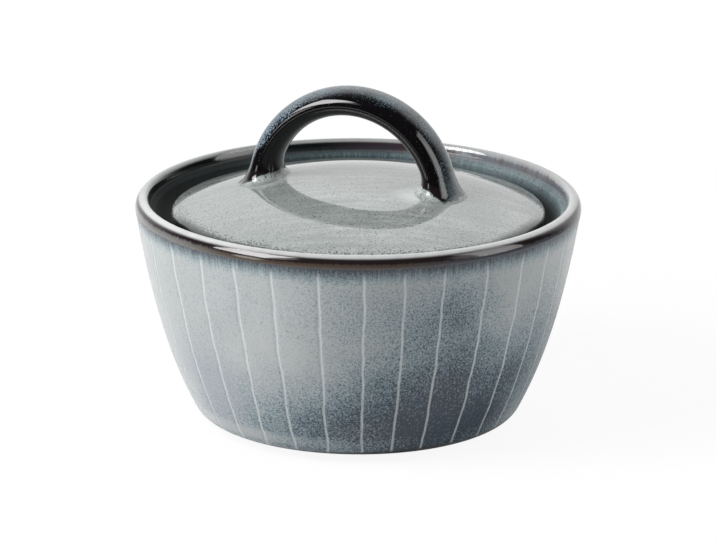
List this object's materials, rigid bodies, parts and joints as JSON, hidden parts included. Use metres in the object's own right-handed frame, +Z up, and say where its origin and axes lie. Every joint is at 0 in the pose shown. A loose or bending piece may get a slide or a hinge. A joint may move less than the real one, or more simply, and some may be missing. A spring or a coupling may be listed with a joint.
{
  "type": "lidded bowl",
  "caption": "Flared stoneware bowl with a lift-off domed lid and an arched strap handle, in mottled blue-grey glaze with fine pale stripes, for sugar, sauces or leftovers.",
  "frame": {"origin": "centre of the foot ring, on the surface that the bowl stands on", "axes": "+Z up along the axis of the bowl, +X along the handle's arch, towards the foot of the arch that lies nearer to the middle of the lid"},
  "size_m": [0.12, 0.12, 0.0915],
  "materials": {
    "bowl_glaze": "glossy reactive glaze, pale grey-green to slate blue with dark speckle, brown rim and fine pale stripes",
    "lid_glaze": "glossy pale grey-green glaze with fine dark speckle",
    "handle_glaze": "glossy near-black navy glaze with a pale speckle on the outside of the arch"
  },
  "bodies": {
    "bowl": {"bowl": "bowl_glaze"},
    "lid": {"lid": "lid_glaze", "handle": "handle_glaze"}
  },
  "joints": [
    {"name": "lid_lift", "type": "slide", "parent": "bowl", "child": "lid", "axis": [0, 0, 1], "range_m": [0, 0.1]}
  ]
}
